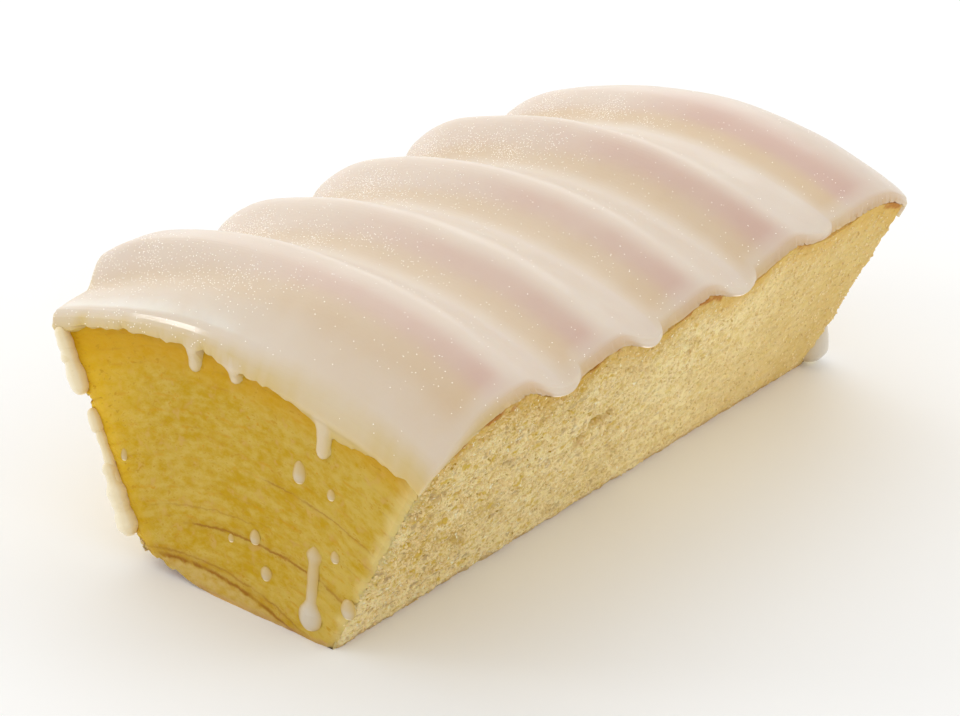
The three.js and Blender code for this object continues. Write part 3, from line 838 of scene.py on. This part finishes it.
def glazeTree(material):
    tree, size = startTree("glazeCoat", {**ringShape, **glazeShape})
    tones = glazeTones
    mesh, (along, across, up) = gridBox(tree, glazeCells)
    atNear, atFar, atRight, atLeft = edgeFlags(along, across)
    onWall = least(atNear + atFar + atRight + atLeft, 1.0)
    under = below(up, tiny) * (1.0 - onWall)
    along = mixed(along, eased(along, 0.0, 1.0), endSpread)
    across = mixed(across, eased(across, 0.0, 1.0), endSpread)
    plainX = (along - 0.5) * size["length"]
    plainAngle = mixed(size["rightCut"], size["leftCut"], across)
    plainOuter = ridgeRadii(size, plainX, plainAngle)[0]
    lobe = edgeLobe(plainX, pastLastCrest(size, plainX))
    fromNear = along * size["length"]
    fromFar = (1.0 - along) * size["length"]
    fromRight = across * (size["leftCut"] - size["rightCut"]) * size["edgeRadius"]
    fromLeft = (1.0 - across) * (size["leftCut"] - size["rightCut"]) * size["edgeRadius"]

    wall = mixed(size["rightWall"], size["midWall"], eased(across, *tones["rightWall"]))
    wall = mixed(wall, size["leftWall"], eased(across, *tones["leftWall"]))
    down = (1.0 - up) * wall
    drop = roundedDrop(fromNear, size["nearRound"])
    drop = most(drop, roundedDrop(fromFar, size["farRound"]))
    drop = most(drop, roundedDrop(fromLeft, size["leftRound"]))
    drop = most(drop, roundedDrop(fromRight, mixed(size["rightRound"], size["lobeRound"], lobe)))
    wallY, wallZ = sectorPlace(size, plainX, plainAngle, plainOuter - drop - down)[1:]
    place = vector(plainX, wallY, wallZ)

    skirt = size["skirtHang"] * bell(wallY, size["skirtAt"], size["skirtSpread"])
    nearHang = size["nearHang"] + skirt + size["nearWave"] * rimWave(wallY, "near")
    nearHang = nearHang + size["nearRipple"] * rimWave(wallY, "ripple")
    farHang = size["farHang"] + size["farWave"] * rimWave(wallY, "far")
    leftHang = size["leftHang"] + size["leftWave"] * rimWave(plainX, "left")
    leftHang = mixed(size["cornerHang"], leftHang, eased(fromNear, *tones["leftHang"]))
    toLeft = eased(across, *tones["leftRim"])
    nearHang = mixed(nearHang, leftHang, toLeft)
    farHang = mixed(farHang, leftHang, toLeft)
    evenHang = size["rightHang"] + size["lobeHang"] * lobe
    rightHang = evenHang + noise(place, glazeGrains["ragged"]) * size["rightRagged"] * (1.0 - lobe)
    hang = most(most(nearHang * atNear, farHang * atFar), most(leftHang * atLeft, rightHang * atRight))
    hang = mixed(size["leftHang"], hang, onWall)
    aboveRim = hang - down

    swell = 0.0
    for drip in glazeRuns:
        sideways = plainX if drip["cut"] == "left" else wallY
        onCut = {"near": atNear, "far": atFar, "left": atLeft}[drip["cut"]]
        half = drip["width"] / 2
        tip = drip["z"] + half
        top = drip["z"] + drip["rise"]
        held = most(least(wallZ, top), tip)
        slim = half * mixed(1.0, drip["flare"], ((held - tip) / (top - tip)) ** 2.0)
        apart = root((sideways - drip["at"]) * (sideways - drip["at"]) + (wallZ - held) * (wallZ - held))
        inside = mixed(-size["leftWall"], slim - apart, onCut)
        aboveRim = softMost(aboveRim, inside, size["fillet"])
        swell = most(quarterRound(inside, half) ** 2.0 * size["runDepth"] * drip["width"], swell)

    lip = 1.0 - eased(down, 0.0, size["lipReach"])
    beadShare = quarterRound(aboveRim, size["bead"])
    sunk = size["sunk"] * eased(-aboveRim, 0.0, size["sunkReach"])

    def thickness(over):                           # how far the glaze stands out from a cut
        skirted = (size["skin"] + (over - size["skin"]) * lip) * beadShare
        return softMost(skirted, swell, size["runFillet"]) * below(-aboveRim, 0.0) - sunk

    rightOver = mixed(size["rightCrestOver"], size["rightValleyOver"], lobe)
    nearOut = mixed(thickness(size["nearOver"]), -size["inset"], under)
    farOut = mixed(thickness(size["farOver"]), -size["inset"], under)
    cornerIn = size["cornerIn"] * (1.0 - eased(fromNear, 0.0, size["cornerInReach"]))
    leftOut = mixed(thickness(size["leftOverhang"] - cornerIn), -size["inset"], under)
    rightOut = mixed(rightOver * mixed(1.0, beadShare, onWall) - sunk, -size["inset"], under)
    x = mixed(-size["length"] * 0.5 - nearOut, size["length"] * 0.5 + farOut, along)
    spread = leftOut * across ** size["edgePower"] - rightOut * (1.0 - across) ** size["edgePower"]
    angle = plainAngle + spread / size["edgeRadius"]
    outer, cakeTop = ridgeRadii(size, x, angle)[:2]
    uneven = noise(place, glazeGrains["top"], 1.0) * size["unevenTop"] * (1.0 - under)
    radius = mixed(outer - drop - down + uneven, cakeTop - size["underside"], under)
    endX, endY, endZ = sectorPlace(size, x, angle, radius)

    ridge = most(least(mathNode("ROUND", plainX / size["ridgePitch"]), lastRidge), -lastRidge)
    unevenBand = noise(place, glazeGrains["band"], 1.0) * size["unevenBand"]
    fromCrest = plainX - ridge * size["ridgePitch"] + unevenBand
    crestTo = mixed(size["crestTo"], size["lastCrest"], below(lastRidge - 0.5, ridge))
    band = eased(fromCrest, size["bandFrom"], size["bandTo"])
    band = band * (1.0 - eased(fromCrest, size["crestFrom"], crestTo))
    blush = eased(fromCrest, *tones["blush"])
    shownBlush = blush * mixed(size["rimBlush"], 1.0, eased(fromRight, *tones["rimBlush"]))
    leftward = eased(plainAngle, *tones["leftward"])
    thin = band * mixed(1.0, mixed(size["leftTan"], size["leftBlush"], blush), leftward)
    thinFilm = mixed(size["thinFilm"], size["farThinFilm"], eased(along, *tones["farThin"]))
    rightThin = mixed(1.0, size["rightThin"], thin)
    nearThin = mixed(1.0, size["nearThin"], eased(-wallY, *tones["nearThin"]))
    topFilm = mixed(size["fullFilm"], thinFilm, thin)
    topFilm = topFilm * mixed(rightThin, 1.0, eased(fromRight, 0.0, size["rightThinReach"]))
    topFilm = topFilm * mixed(nearThin, 1.0, eased(fromNear, 0.0, size["nearThinReach"]))
    shelf = eased(-fromCrest, *tones["shelf"]) * eased(wallY, *tones["shelfSide"])
    topFilm = topFilm + size["shelfFilm"] * shelf

    def rimShare(sideHang, away):                  # 0 at the glaze's rim, 1 where it is whole
        return clip((sideHang + away * size["lipWrap"]) / (most(sideHang, 0.0) + size["rimReach"]))

    def cornerShare(away):
        return 1.0 - eased(away, 0.0, size["cornerFilmReach"])

    rightReach = mixed(size["rightReach"], size["lobeReach"], lobe)
    onTop = least(rimShare(nearHang, fromNear), rimShare(farHang, fromFar))
    onTop = least(onTop, rimShare(leftHang, fromLeft))
    onTop = least(onTop, clip((evenHang + fromRight * size["lipWrap"]) / rightReach))
    onCut = clip(aboveRim / mixed(most(hang, 0.0) + size["rimReach"], rightReach, atRight))
    whole = mixed(onTop, onCut, onWall)
    film = size["rimFilm"] + topFilm * whole * whole
    film = film + size["cornerFilm"] * cornerShare(fromRight) * cornerShare(fromFar)
    film = film + size["rightRimFilm"] * thin * whole * (1.0 - eased(fromRight, *tones["rightRim"]))
    overCrumb = 1.0 - eased(least(least(fromNear, fromFar), fromLeft), *tones["overCrumb"])
    overCrust = mixed(size["nearCrust"], size["farCrust"], eased(plainX, *tones["nearCrust"]))
    overCrust = overCrust * (1.0 - eased(fromRight, *tones["overCrust"]))
    lipBeads = (1.0 - eased(fromNear, *tones["lipBeads"])) * eased(wallY, *tones["lipBeadSide"])
    beads = bell(fromCrest, *tones["crestBeads"]) * mixed(size["rightBeads"], 1.0, leftward)
    beads = size["evenBeads"] + beads + lipBeads * size["lipBeads"]
    mesh = storeValues(tree, mesh, {
        "film": most(film, swell * size["runFilm"]),
        "overCrumb": most(overCrumb, overCrust),
        "blush": shownBlush,
        "rimGlow": eased(lobe, *tones["fullLobe"]) * atRight * bell(aboveRim, *tones["rimLine"]),
        "wetLip": 1.0 - eased(fromNear, *tones["wetLip"]),
        "onTop": (1.0 - onWall) * (1.0 - under) * beads,
    })
    place = vector(endX - size["originAlong"], endY - size["originSide"], endZ)
    finishTree(tree, setPlace(tree, mesh, place), material)
    return tree


# Loose drops of glaze on the cuts, each a ball drawn out by its own width and length

dropShape = {
    "neckFrom": 0.62, "head": 0.66, "headAt": 0.33, "headSpread": 0.4, "longFrom": 1.9, "longTo": 2.1,
    "roundBare": 3.0, "edgeFilm": 0.05, "filmShare": 1.1, "backFilm": 0.8, "tipGlowFilm": 0.9, "tipReach": 0.45,
    "clearTop": 0.5, "clearFrom": 0.25, "clearTo": 0.6, "litClear": 0.3,
    "lumpShift": 7.0, "lumpLength": 3.0,
}
dropSteps = {"Segments": 28, "Rings": 30}
plainDrop = {
    "neck": 0.46, "taper": 1.05, "flatness": 0.42, "bare": 0.0, "sink": 0.0, "lit": 0.0, "lumpy": 0.2,
}
cornerDrop = {
    "cut": "corner", "neck": 0.8, "taper": 2.4, "flatness": 0.8, "bare": 0.3, "lit": 0.5, "lumpy": 0.7,
}
dropSpots = [
    {"cut": "near", "at": -10.6, "z": 26.4, "width": 2.7, "rise": 4.0},
    {"cut": "near", "at": -17.3, "z": 25.8, "width": 1.7, "rise": 2.0},
    {"cut": "near", "at": -2.4, "z": 12.6, "width": 2.2, "rise": 2.7},
    {"cut": "near", "at": 2.6, "z": 11.2, "width": 1.3, "rise": 1.5},
    {"cut": "near", "at": -5.2, "z": 7.1, "width": 2.4, "rise": 2.6},
    {"cut": "near", "at": -14.8, "z": 1.9, "width": 5.0, "rise": 15.0},
    {"cut": "near", "at": -19.0, "z": 15.4, "width": 1.8, "rise": 2.2},
    {"cut": "near", "at": -22.4, "z": 6.8, "width": 3.2, "rise": 3.6},
    {"cut": "near", "at": 26.7, "z": 17.3, "width": 1.5, "rise": 2.2},
    {**cornerDrop, "z": 26.6, "width": 4.0, "rise": 12.2, "sink": -0.9},
    {**cornerDrop, "z": 31.4, "width": 3.2, "rise": 4.2, "sink": -1.2},
    {**cornerDrop, "z": 20.6, "width": 3.2, "rise": 4.4, "sink": -0.4},
    {**cornerDrop, "z": 9.4, "width": 2.6, "rise": 14.4, "sink": -0.2},
    {**cornerDrop, "z": 4.9, "width": 4.6, "rise": 13.0, "neck": 0.7, "sink": -0.7},
    {"cut": "left", "at": 12.0, "z": 14.0, "width": 3.4, "rise": 4.6},
    {"cut": "far", "at": 8.0, "z": 11.0, "width": 3.2, "rise": 4.4},
    {"cut": "far", "at": -20.2, "z": 0.3, "width": 6.4, "rise": 16.0, "neck": 0.6, "taper": 1.7,
     "bare": 0.6, "flatness": 1.2},
]
looseDrops = [{**plainDrop, **spot} for spot in dropSpots]


def cutPlace(drop):                                # the tip of a drop, with the ways up and out of its cut
    shape = ringShape
    cut = drop["cut"]
    height = drop["z"]
    slope = math.tan(shape["leftCut"])
    leftSide = shape["axisSide"] + (height - shape["axisHeight"]) * slope
    facing = 1.0 if cut == "far" else -1.0
    lean = shape["farLean"] if cut == "far" else shape["nearLean"]
    along = facing * shape["length"] / 2 + lean * height
    if cut == "left":
        up = Vector((0.0, slope, 1.0)).normalized()
        out = Vector((0.0, 1.0, -slope)).normalized()
        tip = Vector((drop["at"], leftSide, height))
    elif cut == "corner":                          # on the edge between the near cut and the left cut
        up = Vector((lean, slope, 1.0)).normalized()
        out = Vector((-1.0, 1.0, 0.0))
        out = (out - up * out.dot(up)).normalized()
        tip = Vector((along, leftSide, height)) - out * drop["sink"]
    else:
        up = Vector((lean, 0.0, 1.0)).normalized()
        out = Vector((facing, 0.0, -facing * lean)).normalized()
        tip = Vector((along, drop["at"], height))
    shift = Vector((shape["originAlong"], shape["originSide"], 0.0))
    return {"tip": tip - shift, "up": up, "out": out}


def dropPoints():                                  # one point for each drop, with its sizes and directions
    mesh = bpy.data.meshes.new("dropPoints")
    placed = [cutPlace(drop) for drop in looseDrops]
    mesh.from_pydata([spot["tip"] for spot in placed], [], [])
    for label in ("width", "rise", "neck", "taper", "flatness", "bare", "lit", "lumpy"):
        layer = mesh.attributes.new(label, "FLOAT", "POINT")
        layer.data.foreach_set("value", [drop[label] for drop in looseDrops])
    for label in ("tip", "up", "out"):
        layer = mesh.attributes.new(label, "FLOAT_VECTOR", "POINT")
        layer.data.foreach_set("vector", [part for spot in placed for part in spot[label]])
    return mesh


def dropTree(material):
    tree, size = startTree("glazeDrops", dropShape, takesMesh=True)
    ball = nodeOf(tree, "GeometryNodeMeshUVSphere", dropSteps).outputs["Mesh"]
    spot = Value(tree, nodeOf(tree, "GeometryNodeInputPosition").outputs[0])
    ball = storeValues(tree, ball, dict(zip(("ballSide", "ballOut", "ballUp"), parts(spot))))
    feeds = {"Points": size["Base"], "Instance": ball}
    copies = nodeOf(tree, "GeometryNodeInstanceOnPoints", feeds).outputs["Instances"]
    mesh = nodeOf(tree, "GeometryNodeRealizeInstances", {"Geometry": copies}).outputs[0]

    width = storedValue(tree, "width")
    rise = storedValue(tree, "rise")
    ballUp = storedValue(tree, "ballUp")
    climb = rise * clip(ballUp * 0.5 + 0.5)
    tipRound = quarterRound(climb, width * 0.5)
    headLong = clip((climb - width * 0.5) / (rise - width * 0.5))
    eggHead = root(most(1.0 - headLong * headLong, 0.0))
    fromHead = (rise - climb) / width
    necked = eased(climb / width, size["neckFrom"], storedValue(tree, "taper"))
    necked = mixed(1.0, storedValue(tree, "neck"), necked)
    head = size["head"] * bell(fromHead, size["headAt"], size["headSpread"])
    necked = most(necked, head) * quarterRound(fromHead, size["headAt"])
    long = eased(rise / width, size["longFrom"], size["longTo"])
    half = width * 0.5 * tipRound * mixed(eggHead, necked, long)
    tip = storedValue(tree, "tip", "FLOAT_VECTOR")
    lumps = noiseAlong(climb + parts(tip)[2] * size["lumpShift"], size["lumpLength"])
    half = half * (1.0 + lumps * storedValue(tree, "lumpy"))

    up = storedValue(tree, "up", "FLOAT_VECTOR")
    out = storedValue(tree, "out", "FLOAT_VECTOR")
    cross = nodeOf(tree, "ShaderNodeVectorMath", operation="CROSS_PRODUCT")
    feed(tree, cross.inputs[0], up)
    feed(tree, cross.inputs[1], out)
    side = Value(tree, cross.outputs[0])
    ringRound = root(most(1.0 - ballUp * ballUp, tiny * tiny))
    bare = storedValue(tree, "bare")
    facing = storedValue(tree, "ballOut") / ringRound
    cap = facing * mixed(absolute(facing), 1.0, clip(bare * size["roundBare"]))
    outward = cap * half * storedValue(tree, "flatness")
    sideways = storedValue(tree, "ballSide") / ringRound * half
    ways = zip(parts(tip), parts(side), parts(up), parts(out))
    place = [start + aside * sideways + rising * climb + beyond * outward
             for start, aside, rising, beyond in ways]

    tipGlow = 1.0 - eased(climb, 0.0, size["tipReach"])
    lit = storedValue(tree, "lit")
    upper = eased(climb / rise, size["clearFrom"], size["clearTo"])
    clear = mixed(1.0, size["clearTop"], upper * (1.0 - eased(lit, 0.0, size["litClear"])))
    depth = most(outward, half * bare * clip(1.0 + facing * size["backFilm"]))
    # the film added at the tip paints a whiter crescent there: painted glow where light gathers in the
    # drop's lower edge
    film = (size["edgeFilm"] + size["filmShare"] * depth) * clear + size["tipGlowFilm"] * tipGlow
    mesh = storeValues(tree, mesh, {
        "film": film,
        "rimGlow": most(tipGlow, lit),
        "overCrumb": 1.0,
        "wetLip": 1.0 - climb / rise,
    })
    finishTree(tree, setPlace(tree, mesh, vector(*place)), material)
    return tree


# Small things scattered on a surface: crumbs on the cuts and sugar beads on the glaze, whose white colour
# and glow are painted glints

crumbScatter = {
    "perArea": 900000.0, "clumpFrom": -0.15, "clumpTo": 0.2, "evenShare": 0.5,
    "smallest": 0.16, "largest": 0.48, "thickness": 0.7,
}
beadScatter = {
    "perArea": 7000000.0, "clumpFrom": -0.05, "clumpTo": 0.2, "evenShare": 0.2,
    "smallest": 0.05, "largest": 0.12, "thickness": 0.8,
}
scatterSeeds = {"points": 7, "sizes": 11}
clumpSize = 8.0 * mm
crumbBits = {"size": 0.7, "rough": 0.55, "unevenGloss": 0.8, "bumpDepth": 0.12, "bumpStrength": 0.6}
# sugar beads stand for small bubbles and sugar on the glaze; their white colour and glow are painted glints
beadLook = {"sugarShare": 0.2, "rough": 0.12, "glow": 0.3}


def scatterTree(name, sizes, material, where):
    tree, size = startTree(name, sizes, takesMesh=True)
    place = Value(tree, nodeOf(tree, "GeometryNodeInputPosition").outputs[0])
    clumps = eased(noise(place, clumpSize), size["clumpFrom"], size["clumpTo"])
    density = size["perArea"] * storedValue(tree, where) * mixed(size["evenShare"], 1.0, clumps)
    feeds = {"Mesh": size["Base"], "Density": density, "Seed": scatterSeeds["points"]}
    points = nodeOf(tree, "GeometryNodeDistributePointsOnFaces", feeds)
    grain = nodeOf(tree, "GeometryNodeMeshIcoSphere", {"Radius": mm, "Subdivisions": 1}).outputs["Mesh"]
    feeds = {"Seed": scatterSeeds["sizes"]}
    scale = nodeOf(tree, "FunctionNodeRandomValue", feeds, data_type="FLOAT_VECTOR")
    for limit, width in (("Min", size["smallest"]), ("Max", size["largest"])):
        feed(tree, scale.inputs[limit], vector(width, width, width * size["thickness"]))
    feeds = {"Points": points.outputs["Points"], "Instance": grain,
             "Rotation": points.outputs["Rotation"], "Scale": scale.outputs["Value"]}
    copies = nodeOf(tree, "GeometryNodeInstanceOnPoints", feeds).outputs["Instances"]
    finishTree(tree, copies, material)
    return tree


def crumbGrainMaterial():
    look = crumbBits
    material, tree, shader = startMaterial("looseCrumb")
    place = surfacePlace(tree)
    grain = useGroup(tree, crumbGrain, {"Place": place, "Size": look["size"]})
    mottle = useGroup(tree, softMottle, {"Place": place})
    pale = grain["Grain"] + mottle["Quick"]
    dress(tree, shader, {
        "Base Color": tinted(crumbFinish["dryDeep"], crumbFinish["dryPale"], pale),
        "Roughness": look["rough"] + mottle["Quick"] * look["unevenGloss"],
        "Normal": bumpFrom(tree, grain["Height"], look["bumpDepth"], look["bumpStrength"]),
    })
    return material


def beadMaterial():
    look = beadLook
    material, tree, shader = startMaterial("sugarBead")
    mottle = useGroup(tree, softMottle, {"Place": surfacePlace(tree)})
    sugary = look["sugarShare"] + mottle["Quick"]
    dress(tree, shader, {
        "Base Color": tinted(glazeFinish["sparkle"], glazeFinish["sugar"], sugary),
        "Roughness": look["rough"],
        "Emission Color": glazeFinish["sparkle"],
        "Emission Strength": look["glow"],
    })
    return material


# Stage: floor, light and the photograph's viewpoint

viewpoint = {
    "azimuth": -53.2, "elevation": 26.5, "roll": 2.51, "distance": 571.0,
    "aim": (3.02, 5.44, 15.68), "lens": 120.0, "sensor": 36.0,
}
lamps = [                                          # place in metres, width, height, watts
    {"name": "softKey", "place": (0.6, 0.85, 0.75), "wide": 1.8, "high": 1.8, "power": 7.2},
    {"name": "rightStrip", "place": (0.55, -0.75, 0.6), "wide": 0.4, "high": 0.4, "power": 0.8},
    {"name": "nearGlint", "place": (-0.66, 0.85, 0.55), "wide": 0.36, "high": 0.1, "power": 1.3},
]
stageLook = {
    "floor": srgb(250, 250, 249), "floorRough": 0.9, "floorSize": 4.0,
    "skyColour": srgb(255, 255, 255), "sky": 0.83,
}


def placeCamera(view):
    axes = Matrix.Rotation(math.radians(view["azimuth"]), 3, "Z")
    axes = axes @ Matrix.Rotation(math.radians(90.0 - view["elevation"]), 3, "X")
    axes = axes @ Matrix.Rotation(math.radians(view["roll"]), 3, "Z")
    camera = bpy.data.objects.new("camera", bpy.data.cameras.new("camera"))
    bpy.context.scene.collection.objects.link(camera)
    camera.data.lens = view["lens"]
    camera.data.sensor_width = view["sensor"]
    place = Vector(view["aim"]) * mm + axes.col[2] * view["distance"] * mm
    camera.matrix_world = Matrix.Translation(place) @ axes.to_4x4()
    bpy.context.scene.camera = camera


def placeLamps():
    for lamp in lamps:
        light = bpy.data.lights.new(lamp["name"], "AREA")
        light.shape = "RECTANGLE"
        light.size = lamp["wide"]
        light.size_y = lamp["high"]
        light.energy = lamp["power"]
        holder = bpy.data.objects.new(lamp["name"], light)
        bpy.context.scene.collection.objects.link(holder)
        holder.location = lamp["place"]
        holder.rotation_mode = "QUATERNION"
        holder.rotation_quaternion = (-Vector(lamp["place"])).to_track_quat("-Z", "Y")


def layFloor():
    half = stageLook["floorSize"] / 2
    corners = [(-half, -half, 0.0), (half, -half, 0.0), (half, half, 0.0), (-half, half, 0.0)]
    mesh = bpy.data.meshes.new("floor")
    mesh.from_pydata(corners, [], [(0, 1, 2, 3)])
    floor = bpy.data.objects.new("floor", mesh)
    bpy.context.scene.collection.objects.link(floor)
    material, tree, shader = startMaterial("paleFloor")
    dress(tree, shader, {"Base Color": stageLook["floor"], "Roughness": stageLook["floorRough"]})
    mesh.materials.append(material)


def lightSky():
    world = bpy.data.worlds.new("studio")
    bpy.context.scene.world = world
    world.use_nodes = True
    tree = world.node_tree
    dress(tree, tree.nodes["Background"], {"Color": stageLook["skyColour"], "Strength": stageLook["sky"]})


def wear(piece, slot, *nodes):                     # every piece is part of the one body
    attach(piece, "root")
    if nodes:
        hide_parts(*nodes)


crumb = crumbMaterial()
glaze = glazeMaterial("glaze", glazeFinish)
looseGlaze = glazeMaterial("looseGlaze", dropFinish)
cakeBlock = pieceFromTree("cakeBlock", cakeTree(crumb), {**ringShape, **cakeShape})
glazeCoat = pieceFromTree("glazeCoat", glazeTree(glaze), {**ringShape, **glazeShape})
glazeDrops = pieceFromTree("glazeDrops", dropTree(looseGlaze), dropShape, dropPoints())
crumbTree = scatterTree("looseCrumbs", crumbScatter, crumbGrainMaterial(), "onCut")
looseCrumbs = pieceFromTree("looseCrumbs", crumbTree, crumbScatter, cakeBlock.data.copy())
beadTree = scatterTree("sugarBeads", beadScatter, beadMaterial(), "onTop")
sugarBeads = pieceFromTree("sugarBeads", beadTree, beadScatter, glazeCoat.data.copy())
print("pieces made")

wear(cakeBlock, "crumb", "cake")
wear(glazeCoat, "glaze", "glaze")
wear(glazeDrops, "glaze")
wear(looseCrumbs, "crumb")
wear(sugarBeads, "glaze")

layFloor()
lightSky()
placeLamps()
placeCamera(viewpoint)
bpy.context.scene.view_settings.view_transform = "Standard"
print("stage set")
